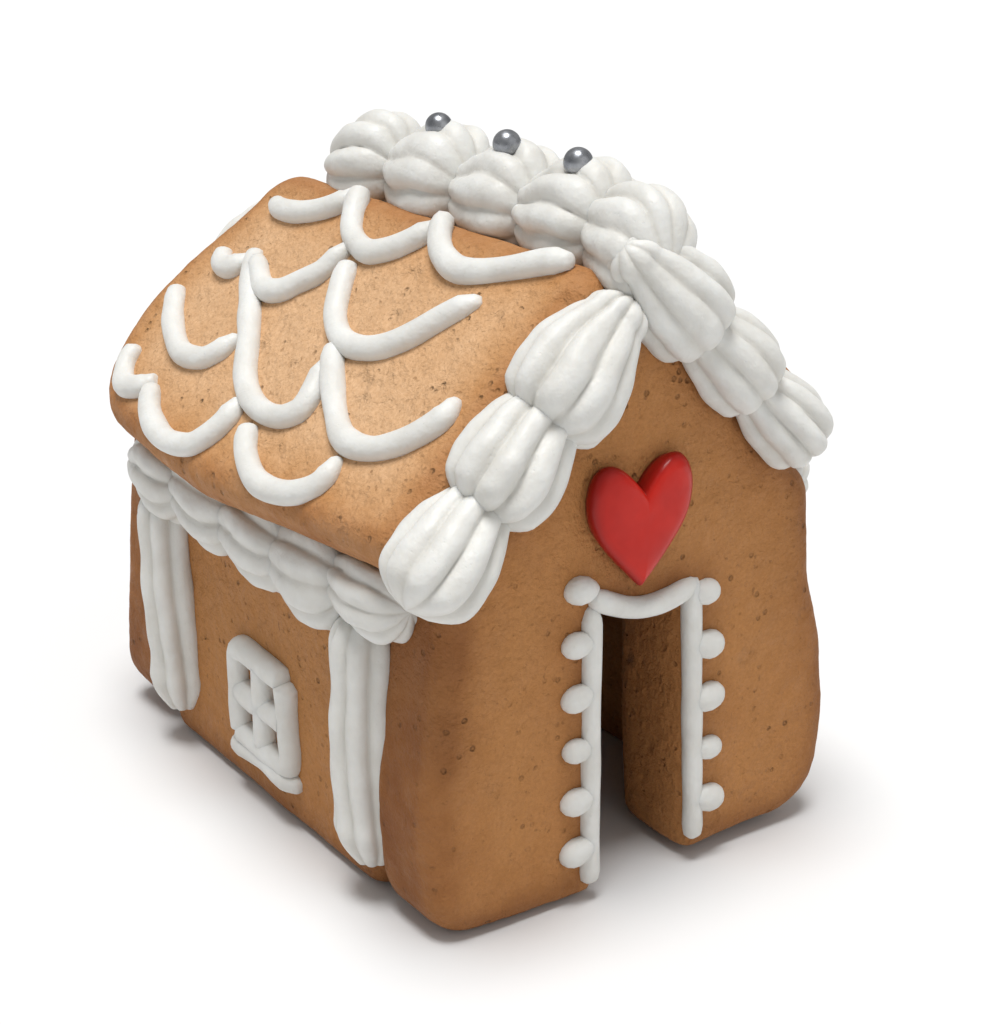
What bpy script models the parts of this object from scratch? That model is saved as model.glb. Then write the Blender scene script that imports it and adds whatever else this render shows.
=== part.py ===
"""Small gingerbread house that perches on the rim of a cup by the door slots in its two gables.

Metres, +Z up. The front gable faces -Y, the ridge runs along Y, and the origin is on the base, in the middle of
the footprint. Every cookie is a slab with rounded edges, and the icing is piped on it in shells, ropes and lines.
"""

import math
import random

import bmesh
import bpy
from mathutils import Matrix, Vector

MM = 0.001
GAP = 0.3 * MM                    # clearance between pieces that touch
SEED = 7

# Driving sizes of the house.
WALL_HALF_WIDTH = 22.0 * MM       # gable at its widest, a little above its base
HOUSE_HALF_DEPTH = 30.8 * MM      # outer face of each gable at its base
BACK_LEAN = 0.05                  # how far the back gable leans in for each unit of height
GABLE_THICK = 9.8 * MM
SIDE_THICK = 6.0 * MM
ROOF_THICK = 5.5 * MM
APEX_Z = 53.2 * MM                # where the two slopes of a gable meet
SLOPE = math.radians(45)

# Rounding of the baked edges.
GABLE_RIM = 2.6 * MM
SIDE_RIM = 2.2 * MM
ROOF_RIM = 2.4 * MM
RIM_STEPS = 2

# Door slot, as wide as a cup's rim needs and wider at the foot, by the side seen from outside the gable.
DOOR_EDGE_TOP = {-1: -4.7 * MM, 1: 4.3 * MM}
DOOR_EDGE_FOOT = {-1: -4.4 * MM, 1: 5.6 * MM}
DOOR_TOP_Z = 26.6 * MM

# Gable outline.
EAVE_HALF_WIDTH = 19.4 * MM
FOOT_RADIUS = 6.0 * MM
INNER_FOOT_RADIUS = 4.5 * MM
LEG_BULGE = {"front": 1.0 * MM, "back": -0.6 * MM}  # how far the leg on the right splays
LEG_LIFT = {"front": 0.7 * MM, "back": 0.0}  # that leg's sole above the base
EAVE_RADIUS = 2.8 * MM
APEX_RADIUS = 3.0 * MM

# Side wall.
SIDE_FACE_X = 20.4 * MM
SIDE_HEIGHT = 34.0 * MM
SIDE_CORNER_RADIUS = 2.5 * MM

# Roof panel. Its plane touches the gables' slopes; v runs down the slope from the ridge line.
ROOF_TOP_V = 0.8 * MM
ROOF_LOW_V = {"left": 32.0 * MM, "right": 28.0 * MM}
ROOF_BULGE = 0.6 * MM             # how far the eave edge bows out near its middle
ROOF_FRONT_RISE = 2.2 * MM        # how much shorter the panel is at its front corner
ROOF_FRONT = -30.2 * MM
ROOF_BACK_LOW = {"left": 27.4 * MM, "right": 28.0 * MM}
ROOF_BACK_TOP = 21.4 * MM
ROOF_FRONT_RADIUS = 3.0 * MM
ROOF_BACK_RADIUS = {"left": 10.0 * MM, "right": 7.0 * MM}
ROOF_BACK_BOW = {"left": (1.2 * MM, 0.42, 0.60), "right": (1.6 * MM, 0.46, 0.66)}
ROOF_BACK_CUT = {"left": (0.8 * MM, 1.2 * MM), "right": (0.2 * MM, 0.4 * MM)}

# Piped icing.
LINE_RADIUS = 1.1 * MM
DOOR_LINE_RADIUS = 0.9 * MM
BEAD_FIRST_Z = {-1: 5.2 * MM, 1: 6.0 * MM}
BEAD_PITCH = {-1: 4.9 * MM, 1: 5.1 * MM}
BEAD_COUNT = {-1: 6, 1: 5}
FLUTES = 6
SHELL_RINGS = 6

COOKIE = ("gingerbread", (0.45, 0.23, 0.10), 0.75)
WHITE = ("royal_icing", (0.86, 0.84, 0.80), 0.55)
RED = ("red_icing", (0.62, 0.04, 0.03), 0.35)


def clear_scene():
    """Removes whatever the file holds."""
    for old in list(bpy.data.objects):
        bpy.data.objects.remove(old)


def material(name, colour, roughness):
    """A plain Principled material, made once for each name."""
    made = bpy.data.materials.get(name)
    if made:
        return made
    made = bpy.data.materials.new(name)
    made.use_nodes = True
    shader = made.node_tree.nodes["Principled BSDF"]
    shader.inputs["Base Color"].default_value = (*colour, 1.0)
    shader.inputs["Roughness"].default_value = roughness
    shader.inputs["Metallic"].default_value = 0.0
    return made


def object_from(bm, name, matrix=None):
    """An object made from a bmesh, with its faces pointing out."""
    if matrix is not None:
        bm.transform(matrix)
    bmesh.ops.recalc_face_normals(bm, faces=bm.faces)
    mesh = bpy.data.meshes.new(name)
    bm.to_mesh(mesh)
    bm.free()
    made = bpy.data.objects.new(name, mesh)
    bpy.context.scene.collection.objects.link(made)
    return made


def boolean(target, others, operation):
    """Joins the others to the target, or cuts them from it, and removes them."""
    group = bpy.data.collections.new("operands")
    bpy.context.scene.collection.children.link(group)
    for other in others:
        for held in list(other.users_collection):
            held.objects.unlink(other)
        group.objects.link(other)
    modifier = target.modifiers.new("join_or_cut", "BOOLEAN")
    modifier.operation = operation
    modifier.operand_type = "COLLECTION"
    modifier.collection = group
    modifier.solver = "EXACT"
    bpy.context.view_layer.update()
    evaluated = target.evaluated_get(bpy.context.evaluated_depsgraph_get())
    result = bpy.data.meshes.new_from_object(evaluated)
    target.modifiers.clear()
    target.data = result
    for other in others:
        bpy.data.objects.remove(other)
    bpy.data.collections.remove(group)


def keep_largest(target):
    """Drops loose scraps that a cut leaves beside the main body."""
    bm = bmesh.new()
    bm.from_mesh(target.data)
    bmesh.ops.remove_doubles(bm, verts=bm.verts, dist=0.002 * MM)
    left = set(bm.verts)
    bodies = []
    while left:
        body = {left.pop()}
        front = list(body)
        while front:
            for edge in front.pop().link_edges:
                for vert in edge.verts:
                    if vert in left:
                        left.discard(vert)
                        body.add(vert)
                        front.append(vert)
        bodies.append(body)
    bodies.sort(key=len)
    for body in bodies[:-1]:
        bmesh.ops.delete(bm, geom=list(body), context="VERTS")
    bm.to_mesh(target.data)
    bm.free()


def finish(target, name, look):
    """Names a finished piece, gives it its material and shades it."""
    keep_largest(target)
    target.name = name
    target.data.name = name
    target.data.materials.clear()
    target.data.materials.append(material(*look))
    target.data.shade_smooth()
    target.data.set_sharp_from_angle(angle=math.radians(50))
    return target


# Outlines

def rounded(corners, steps=3):
    """A closed outline through (u, v, radius, rim share) corners, each radius an arc. Returns points and shares."""
    points = []
    shares = []
    count = len(corners)
    for i, (u, v, radius, share) in enumerate(corners):
        here = Vector((u, v))
        before = (Vector(corners[i - 1][:2]) - here).normalized()
        after = (Vector(corners[(i + 1) % count][:2]) - here).normalized()
        half = before.angle(after) / 2
        reach = radius / math.tan(half)
        centre = here + (before + after).normalized() * (radius / math.sin(half))
        start = here + before * reach - centre
        end = here + after * reach - centre
        sweep = start.angle_signed(end)
        for k in range(steps + 1):
            turned = start.copy()
            turned.rotate(Matrix.Rotation(-sweep * k / steps, 2))
            points.append(centre + turned)
            shares.append(share)
    return points, shares


def offset(points, distances):
    """The outline moved outwards by a distance at each point. The outline runs anticlockwise."""
    moved = []
    count = len(points)
    for i, point in enumerate(points):
        a = (point - points[i - 1]).normalized()
        b = (points[(i + 1) % count] - point).normalized()
        normal_a = Vector((a.y, -a.x))
        normal_b = Vector((b.y, -b.x))
        mitre = (normal_a + normal_b) / (1 + normal_a.dot(normal_b))
        moved.append(point + mitre * distances[i])
    return moved


def loft(rings, name, matrix=None):
    """A closed body through rings of equal length, each end closed by one face."""
    bm = bmesh.new()
    made = [[bm.verts.new(point) for point in ring] for ring in rings]
    count = len(rings[0])
    for low, high in zip(made, made[1:]):
        for i in range(count):
            j = (i + 1) % count
            bm.faces.new((low[i], low[j], high[j], high[i]))
    bm.faces.new(made[0])
    bm.faces.new(made[-1])
    return object_from(bm, name, matrix)


def slab(outline, thick, rim, name, matrix, grow=0.0):
    """A cookie: the outline from w = -thick to w = 0, with both edges rounded. grow makes a looser copy."""
    points, shares = outline
    rings = []
    for face, inwards in ((-thick - grow, 1), (grow, -1)):
        levels = range(RIM_STEPS + 1)
        if inwards < 0:
            levels = reversed(levels)
        for k in levels:
            turn = math.pi / 2 * k / RIM_STEPS
            pulled = [grow - rim * share * (1 - math.sin(turn)) for share in shares]
            w = face + inwards * rim * (1 - math.cos(turn))
            rings.append([(p.x, p.y, w) for p in offset(points, pulled)])
    return loft(rings, name, matrix)


# Places of the panels. A panel's own axes are u along it, v up it and w out of its face.

def wall_matrix(turn, distance):
    """A wall that faces -Y when turn is 0, its outer face at that distance from the middle."""
    upright = Matrix.Rotation(math.pi / 2, 4, "X")
    return Matrix.Rotation(turn, 4, "Z") @ Matrix.Translation((0, -distance, 0)) @ upright


def roof_matrix(side):
    """A roof panel's outer face. u runs along Y, v runs down the slope from the ridge line, for side -1 or 1."""
    down = Vector((side * math.cos(SLOPE), 0, -math.sin(SLOPE)))
    out = Vector((side * math.sin(SLOPE), 0, math.cos(SLOPE)))
    top = Vector((0, 0, APEX_Z)) + out * (ROOF_THICK + GAP)
    axes = Matrix((Vector((0, 1, 0)), down, out)).transposed().to_4x4()
    return Matrix.Translation(top) @ axes


LEAN = Matrix(((1, 0, 0, 0), (0, 1, -BACK_LEAN, 0), (0, 0, 1, 0), (0, 0, 0, 1)))
FRONT = wall_matrix(0, HOUSE_HALF_DEPTH)
BACK = LEAN @ wall_matrix(math.pi, HOUSE_HALF_DEPTH)
LEFT = wall_matrix(-math.pi / 2, SIDE_FACE_X)
RIGHT = wall_matrix(math.pi / 2, SIDE_FACE_X)
GABLES = {"front": FRONT, "back": BACK}
SIDES = {"left": LEFT, "right": RIGHT}
SIDE_SIGN = {"left": -1, "right": 1}


def gable_outline(end):
    """Anticlockwise from the foot of the door. The legs differ a little, as they came out of the oven."""
    eave_z = APEX_Z - EAVE_HALF_WIDTH
    lift = LEG_LIFT[end]
    bulge = LEG_BULGE[end]
    return rounded([
        (DOOR_EDGE_FOOT[1], lift, 1.1 * MM, 0.35),
        (WALL_HALF_WIDTH - 0.4 * MM, lift, FOOT_RADIUS, 0.8),
        (WALL_HALF_WIDTH + bulge, 10 * MM, 12 * MM, 1.0),
        (WALL_HALF_WIDTH + bulge - 0.7 * MM, 18 * MM, 10 * MM, 1.0),
        (EAVE_HALF_WIDTH + 0.9 * MM, 24 * MM, 12 * MM, 1.0),
        (EAVE_HALF_WIDTH, eave_z, EAVE_RADIUS, 1.0),
        (0, APEX_Z, APEX_RADIUS, 1.0),
        (-EAVE_HALF_WIDTH, eave_z, EAVE_RADIUS, 1.0),
        (-WALL_HALF_WIDTH, 11 * MM, 30 * MM, 1.0),
        (-WALL_HALF_WIDTH + 1.2 * MM, 0, INNER_FOOT_RADIUS, 0.8),
        (DOOR_EDGE_FOOT[-1], 0, 1.1 * MM, 0.35),
        (DOOR_EDGE_TOP[-1], DOOR_TOP_Z, 1.2 * MM, 0.35),
        (DOOR_EDGE_TOP[1], DOOR_TOP_Z, 1.2 * MM, 0.35),
    ])


def side_outline(side):
    """Fills the space between the gables, so its back edge leans with the back gable."""
    half = HOUSE_HALF_DEPTH - GABLE_THICK - GAP
    lean = BACK_LEAN * SIDE_HEIGHT
    back_is_left = side == "left"
    left_top = -half + (lean if back_is_left else 0)
    right_top = half - (0 if back_is_left else lean)
    return rounded([
        (-half, 0, SIDE_CORNER_RADIUS, 0.7),
        (half, 0, SIDE_CORNER_RADIUS, 0.7),
        (right_top, SIDE_HEIGHT, SIDE_CORNER_RADIUS, 1.0),
        (left_top, SIDE_HEIGHT, SIDE_CORNER_RADIUS, 1.0),
    ], steps=2)


def roof_outline(side):
    """The panel is longer at the eave than at the ridge, with a bowed back edge and a short front corner."""
    low = ROOF_LOW_V[side]
    back = ROOF_BACK_LOW[side]
    inset, bow, widest = ROOF_BACK_BOW[side]
    cut_u, cut_v = ROOF_BACK_CUT[side]
    return rounded([
        (ROOF_FRONT, ROOF_TOP_V, ROOF_FRONT_RADIUS, 1.0),
        (ROOF_BACK_TOP, ROOF_TOP_V, 5 * MM, 1.0),
        (ROOF_BACK_TOP + 1.2 * MM, 0.2 * low, 8 * MM, 1.0),
        (back - inset, bow * low, 10 * MM, 1.0),
        (back, widest * low, 10 * MM, 1.0),
        (back - cut_u, low - cut_v, ROOF_BACK_RADIUS[side], 1.0),
        (2 * MM, low + ROOF_BULGE, 30 * MM, 1.0),
        (ROOF_FRONT, low - ROOF_FRONT_RISE, ROOF_FRONT_RADIUS, 1.0),
    ])


def gable_slab(end, grow=0.0):
    return slab(gable_outline(end), GABLE_THICK, GABLE_RIM, "gable", GABLES[end], grow)


def side_slab(side, grow=0.0):
    return slab(side_outline(side), SIDE_THICK, SIDE_RIM, "side", SIDES[side], grow)


def roof_slab(side, grow=0.0):
    return slab(roof_outline(side), ROOF_THICK, ROOF_RIM, "roof", roof_matrix(SIDE_SIGN[side]), grow)


def cookies(grow):
    """A looser copy of every cookie, to cut the icing with."""
    slabs = [gable_slab(end, grow) for end in GABLES]
    slabs += [side_slab(side, grow) for side in SIDES]
    slabs += [roof_slab(side, grow) for side in SIDES]
    return slabs


# Thin piping: lines and beads that are fused to the cookie they lie on.

def line(points, radius, matrix, sides=6):
    """A piped line through points of a panel, thinner at its two ends."""
    spots = [Vector(p) for p in points]
    rings = []
    for i, spot in enumerate(spots):
        ahead = spots[min(i + 1, len(spots) - 1)] - spots[max(i - 1, 0)]
        along = ahead.normalized()
        across = along.cross(Vector((0, 0, 1))).normalized()
        up = across.cross(along)
        size = radius * (0.55 if i in (0, len(spots) - 1) else 1.0)
        turns = [2 * math.pi * (k + 0.5) / sides for k in range(sides)]
        rings.append([spot + size * (across * math.cos(a) + up * math.sin(a)) for a in turns])
    return loft(rings, "line", matrix)


def bead(place, size, matrix):
    """A small drop of icing, as an ellipsoid of the given half sizes."""
    bm = bmesh.new()
    scale = Matrix.Diagonal((*size, 1))
    bmesh.ops.create_uvsphere(bm, u_segments=6, v_segments=4, radius=1.0, matrix=Matrix.Translation(place) @ scale)
    return object_from(bm, "bead", matrix)


def door_edge(side, z):
    """Where the slot's edge is at a height, for the side -1 or 1 seen from outside the gable."""
    return DOOR_EDGE_FOOT[side] + (DOOR_EDGE_TOP[side] - DOOR_EDGE_FOOT[side]) * z / DOOR_TOP_Z


def door_border(end):
    """The line round the slot, its swag over the lintel, and the row of beads outside it."""
    matrix = GABLES[end]
    pieces = []
    for side in (-1, 1):
        foot = (LEG_LIFT[end] if side > 0 else 0.0) + 1.5 * MM
        upright = []
        for k in range(7):
            z = foot + (DOOR_TOP_Z + 1.3 * MM - foot) * k / 6
            upright.append((door_edge(side, z) + side * 0.85 * MM, z, -0.05 * MM))
        pieces.append(line(upright, DOOR_LINE_RADIUS, matrix))
        for k in range(BEAD_COUNT[side]):
            z = BEAD_FIRST_Z[side] + k * BEAD_PITCH[side]
            u = door_edge(side, z) + side * 2.7 * MM
            pieces.append(bead((u, z, 0.1 * MM), (1.45 * MM, 1.3 * MM, 1.05 * MM), matrix))
    swag = []
    for k in range(7):
        share = k / 6
        u = DOOR_EDGE_TOP[-1] - 1.2 * MM + (DOOR_EDGE_TOP[1] - DOOR_EDGE_TOP[-1] + 2.4 * MM) * share
        v = DOOR_TOP_Z + (2.2 - 1.2 * share - 1.6 * math.sin(math.pi * share)) * MM
        swag.append((u, v, 0.05 * MM))
    pieces.append(line(swag, DOOR_LINE_RADIUS, matrix))
    return pieces


WINDOW_CENTRE = (0.6 * MM, 10.6 * MM)
WINDOW_HALF = (4.6 * MM, 4.3 * MM)
WINDOW_LINE = 1.0 * MM


def window(side):
    """A framed window of four panes with a sill that droops at its ends."""
    matrix = SIDES[side]
    cu = WINDOW_CENTRE[0] * -SIDE_SIGN[side]
    cv = WINDOW_CENTRE[1]
    hu, hv = WINDOW_HALF
    lift = 0.25 * MM
    bars = [
        [(cu - hu, cv + hv, lift), (cu, cv + hv + 0.3 * MM, lift), (cu + hu, cv + hv, lift)],
        [(cu - hu, cv - hv, lift), (cu, cv - hv - 0.2 * MM, lift), (cu + hu, cv - hv, lift)],
        [(cu - hu, cv - hv, lift), (cu - hu, cv, lift), (cu - hu, cv + hv, lift)],
        [(cu + hu, cv - hv, lift), (cu + hu, cv, lift), (cu + hu, cv + hv, lift)],
        [(cu - hu, cv, lift), (cu, cv - 0.2 * MM, lift), (cu + hu, cv, lift)],
        [(cu, cv - hv, lift), (cu, cv, lift), (cu, cv + hv, lift)],
    ]
    pieces = [line(points, WINDOW_LINE, matrix) for points in bars]
    sill = [(cu + hu * k, cv - hv - 1.0 * MM - 0.5 * MM * abs(k), lift) for k in (-1.3, -0.6, 0, 0.6, 1.3)]
    pieces.append(line(sill, 1.25 * MM, matrix))
    return pieces


# Roof scallops. Each loop hangs from its front end to its back end by way of its lowest point. They are given as
# (along the house, down the slope) in millimetres on the left panel, back end first.
SCALLOPS = (
    ((-3.3, 25.7), (-11.5, 29.4), (-17.3, 24.0)),
    ((-6.5, 16.0), (-18.0, 22.9), (-25.4, 15.6)),
    ((14.6, 10.8), (-4.4, 24.0), (-7.2, 17.0)),
    ((-0.6, 9.0), (-9.0, 15.4), (-20.0, 7.6)),
    ((-8.8, 1.6), (-15.5, 5.5), (-26.6, 2.0)),
    ((5.6, 1.8), (-1.4, 6.8), (-8.0, 2.4)),
    ((14.8, 26.4), (6.0, 30.3), (0.4, 24.0)),
    ((22.4, 17.4), (13.0, 22.5), (7.4, 18.8)),
    ((13.4, 11.4), (7.4, 13.6), (1.6, 7.4)),
    ((17.4, 4.6), (13.0, 5.7), (6.4, 1.8)),
    ((23.4, 25.4), (18.8, 29.2), (15.0, 25.8)),
)


def loop(back, low, front, steps=5):
    """Points of a hanging loop, steep at its ends and flat at its lowest point."""
    points = []
    for k in range(-steps, steps + 1):
        end = back if k < 0 else front
        share = abs(k) / steps
        u = low[0] + (end[0] - low[0]) * math.sin(share * math.pi / 2)
        v = low[1] + (end[1] - low[1]) * (1 - math.cos(share * math.pi / 2))
        points.append((u, v))
    return points


def scallops(side):
    """Hanging loops in staggered rows, like roof tiles."""
    matrix = roof_matrix(SIDE_SIGN[side])
    rng = random.Random(SEED + SIDE_SIGN[side])
    pieces = []
    squeeze = ROOF_LOW_V[side] / ROOF_LOW_V["left"]
    for number, (back, low, front) in enumerate(SCALLOPS):
        drift = 0.0 if side == "left" else rng.uniform(-0.4, 0.4)
        lift = 0.12 + 0.023 * number
        points = [((u + drift) * MM, v * squeeze * MM, lift * MM) for u, v in loop(back, low, front)]
        pieces.append(line(points, LINE_RADIUS, matrix))
    return pieces


# Thick piping: shells and ropes that are pieces of their own.

def shell(base, along, out, length, width, height, name, grow=0.0, tail=0.16):
    """A star-tip shell. base is its middle, along runs from its fat head to its tail, and out leaves the cookie.

    tail is how thick it ends, as a share of its head.
    """
    along = Vector(along).normalized()
    out = Vector(out).normalized()
    across = along.cross(out).normalized()
    rings = []
    sides = FLUTES * 2
    for i in range(SHELL_RINGS + 1):
        share = i / SHELL_RINGS
        swell = math.sin(math.pi * (0.10 + 0.86 * share) ** 0.72) ** 0.75
        swell = max(tail, swell)
        centre = Vector(base) + along * (share - 0.45) * (length + grow * 2)
        ring = []
        for k in range(sides):
            turn = 2 * math.pi * (k + 0.5) / sides
            flute = 1.0 if k % 2 else 0.88
            reach_across = (width / 2 * swell * flute + grow) * math.cos(turn)
            reach_out = (height * swell * flute + grow) * math.sin(turn)
            ring.append(centre + across * reach_across + out * reach_out)
        rings.append(ring)
    return loft(rings, name)


def rope(foot, head, out, half_width, height, name, grow=0.0, wave=0.0, flutes=5):
    """A straight fluted rope of icing from foot to head, pointed at its foot."""
    foot = Vector(foot)
    head = Vector(head)
    along = (head - foot).normalized()
    out = Vector(out).normalized()
    across = along.cross(out).normalized()
    rings = []
    ring_count = 8
    sides = flutes * 2
    for i in range(ring_count + 1):
        share = i / ring_count
        swell = min(1.0, 0.35 + share * 6) * (1 + 0.08 * math.sin(share * 11))
        if i == ring_count:
            swell *= 0.6
        centre = foot.lerp(head, share) + across * wave * math.sin(share * 5) + along * grow * (2 * share - 1)
        ring = []
        for k in range(sides):
            turn = 2 * math.pi * (k + 0.5) / sides
            flute = 1.0 if k % 2 else 0.86
            reach_across = (half_width * swell * flute + grow) * math.cos(turn)
            reach_out = (height * swell * flute + grow) * math.sin(turn)
            ring.append(centre + across * reach_across + out * reach_out)
        rings.append(ring)
    return loft(rings, name)


# For each run of shells on a gable, from the lowest up: how far down the slope from the apex the middles lie,
# then how far above the slope line they lie, and the shells' length, width and height, in millimetres.
SLOPE_RUNS = {
    ("front", "left"): ((26.0, 17.0, 8.6), 2.0, 13.0, 9.0, 4.6),
    ("front", "right"): ((17.7, 9.1, 0.9), 1.1, 12.4, 7.6, 4.0),
    ("back", "left"): ((23.8, 15.2, 6.6), -2.0, 13.4, 7.6, 3.2),
    ("back", "right"): ((24.0, 15.4, 6.9), -2.0, 13.4, 7.6, 3.2),
}
BLUNT_TAIL = 0.42                 # the topmost shell on each slope of the front gable ends thick


def slope_shells(end, side, grow=0.0):
    """Three shells up one slope of a gable, heads down, each lying on the tail of the one below."""
    matrix = GABLES[end]
    turned = matrix.to_3x3()
    local_side = SIDE_SIGN[side] * (1 if end == "front" else -1)
    up = Vector((-local_side, 1, 0)).normalized()
    above = Vector((local_side, 1, 0)).normalized()
    reaches, rise, length, width, height = SLOPE_RUNS[end, side]
    pieces = []
    for k, reach in enumerate(reaches):
        middle = Vector((0, APEX_Z, 0)) - up * reach * MM + above * rise * MM
        middle.z = 0.4 * MM
        tail = BLUNT_TAIL if end == "front" and k == 2 else 0.16
        pieces.append(shell(
            matrix @ middle, turned @ up, turned @ Vector((0, 0, 1)),
            length * MM, (width + 0.7 * k) * MM, height * MM, "shell", grow, tail,
        ))
    return pieces


# Each dollop on the ridge is (middle along Y, middle height, length, width, tilt), in millimetres.
RIDGE_SHELLS = (
    (-28.0, 56.8, 11.0, 9.2, 0.22),
    (-19.9, 57.6, 13.6, 10.2, 0.0),
    (-9.7, 57.4, 13.6, 9.8, 0.0),
    (0.8, 57.6, 13.6, 10.2, 0.0),
    (11.4, 57.1, 13.4, 9.6, -0.06),
)
RIDGE_HEIGHT = 5.6 * MM
DRAGEE_RADIUS = 1.25 * MM
DRAGEE_X = -0.9 * MM
DRAGEE_Y = (-21.8 * MM, -11.6 * MM, -0.9 * MM)
DRAGEE_Z = 62.9 * MM


def ridge_shells(grow=0.0):
    """A row of shells in the groove between the roof panels, heads to the front."""
    pieces = []
    for y, z, length, width, tilt in RIDGE_SHELLS:
        place = Vector((0, y, z)) * MM
        pieces.append(shell(
            place, (0, 1, tilt), (0, 0, 1), length * MM, width * MM, RIDGE_HEIGHT, "ridge", grow,
        ))
    return pieces


def dragees():
    """Three sugar pearls, each half sunk near the top of its shell."""
    pieces = []
    for y in DRAGEE_Y:
        bm = bmesh.new()
        place = Matrix.Translation((DRAGEE_X, y, DRAGEE_Z))
        bmesh.ops.create_icosphere(bm, subdivisions=2, radius=DRAGEE_RADIUS, matrix=place)
        pieces.append(object_from(bm, "dragee"))
    return pieces


EAVE_Z = {"left": 28.0 * MM, "right": 30.4 * MM}
EAVE_PITCH = 9.8 * MM
EAVE_FIRST_Y = -20.8 * MM
EAVE_COUNT = 5
EAVE_FIRST_LIFT = 0.9 * MM        # the shell next to the front gable is smaller and sits higher
EAVE_FIRST_NARROW = 2.0 * MM


def eave_shells(side, grow=0.0):
    """A row of shells on the side wall under the roof."""
    sign = SIDE_SIGN[side]
    rng = random.Random(SEED * 3 + sign)
    pieces = []
    for k in range(EAVE_COUNT):
        y = EAVE_FIRST_Y + k * EAVE_PITCH
        z = EAVE_Z[side] + rng.uniform(-0.4, 0.4) * MM
        width = (9.4 + rng.uniform(-0.4, 0.4)) * MM
        if k == 0:
            z += EAVE_FIRST_LIFT
            width -= EAVE_FIRST_NARROW
        place = (sign * (SIDE_FACE_X + 0.3 * MM), y, z)
        pieces.append(shell(place, (0, 1, -0.06), (sign, 0, 0), 13.2 * MM, width, 3.5 * MM, "eave", grow))
    return pieces


CORNER_HALF_WIDTH = 3.5 * MM
CORNER_TOP_Z = 26.7 * MM
CORNER_FOOT_Z = 3.2 * MM
CORNER_Y = {"front": -19.2 * MM, "back": 18.0 * MM}


def corner_rope(end, side, grow=0.0):
    """An upright rope that hides the seam between a side wall and a gable."""
    sign = SIDE_SIGN[side]
    away = -1 if end == "front" else 1
    y = CORNER_Y[end]
    x = sign * (SIDE_FACE_X + 0.2 * MM)
    wave = 0.35 * MM * away
    foot = (x, y - 0.6 * MM, CORNER_FOOT_Z)
    return [rope(foot, (x, y, CORNER_TOP_Z), (sign, 0, 0), CORNER_HALF_WIDTH, 3.4 * MM, "corner", grow, wave)]


HEART_CENTRE = (-1.5 * MM, 34.7 * MM)
HEART_WIDTH = 10.6 * MM
HEART_HEIGHT = 11.2 * MM
HEART_THICK = 1.9 * MM


def heart():
    """A plump, domed heart above the door."""
    count = 24
    outline = []
    for k in range(count):
        t = 2 * math.pi * k / count
        u = math.copysign(abs(math.sin(t)) ** 1.9, math.sin(t)) / 2 * HEART_WIDTH
        v = (13 * math.cos(t) - 5 * math.cos(2 * t) - 2 * math.cos(3 * t) - math.cos(4 * t) + 2.5) / 29 * HEART_HEIGHT
        outline.append(Vector((u, v)))
    rings = []
    for share, lift in ((0.94, 0.0), (1.0, 0.35), (0.90, 0.75), (0.66, 0.95), (0.3, 1.0)):
        rings.append([
            (HEART_CENTRE[0] + p.x * share, HEART_CENTRE[1] + p.y * share, GAP + HEART_THICK * lift)
            for p in outline
        ])
    return loft(rings, "heart", FRONT)


# The pieces

def fused(name, base, extras):
    """A cookie with its thin piping joined to it."""
    boolean(base, extras, "UNION")
    return finish(base, name, COOKIE)


def iced(name, parts, cutters):
    """A piece of thick icing, joined from its parts and cut clear of what it touches."""
    base = parts[0]
    if parts[1:]:
        boolean(base, parts[1:], "UNION")
    boolean(base, cutters, "DIFFERENCE")
    return finish(base, name, WHITE)


def centre_on_base():
    """Moves the whole house so that the origin is in the middle of its footprint, on its base."""
    lows = Vector([min(v.co[k] for o in bpy.data.objects for v in o.data.vertices) for k in range(3)])
    highs = Vector([max(v.co[k] for o in bpy.data.objects for v in o.data.vertices) for k in range(3)])
    move = (lows + highs) / -2
    move.z = -lows.z
    for made in bpy.data.objects:
        made.data.transform(Matrix.Translation(move))


def build():
    clear_scene()
    for end in GABLES:
        fused(f"{end}_gable", gable_slab(end), door_border(end))
    for side in SIDES:
        fused(f"{side}_wall", side_slab(side), window(side))
        fused(f"{side}_roof", roof_slab(side), scallops(side))
        iced(f"{side}_eave_icing", eave_shells(side), cookies(GAP))
    for end in GABLES:
        for side in SIDES:
            near = cookies(GAP) + eave_shells(side, GAP)
            iced(f"{end}_{side}_corner_icing", corner_rope(end, side), near)
            near = cookies(GAP) + eave_shells(side, GAP)
            if side == "right":
                near += slope_shells(end, "left", GAP)
            iced(f"{end}_{side}_slope_icing", slope_shells(end, side), near)
    near = [piece for end in GABLES for side in SIDES for piece in slope_shells(end, side, GAP)]
    iced("ridge_icing", ridge_shells() + dragees(), cookies(GAP) + near)
    finish(heart(), "heart", RED)
    centre_on_base()


build()
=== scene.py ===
import math
import random

import bmesh
import bpy
import numpy as np
from mathutils import Matrix, Vector, noise


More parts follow.
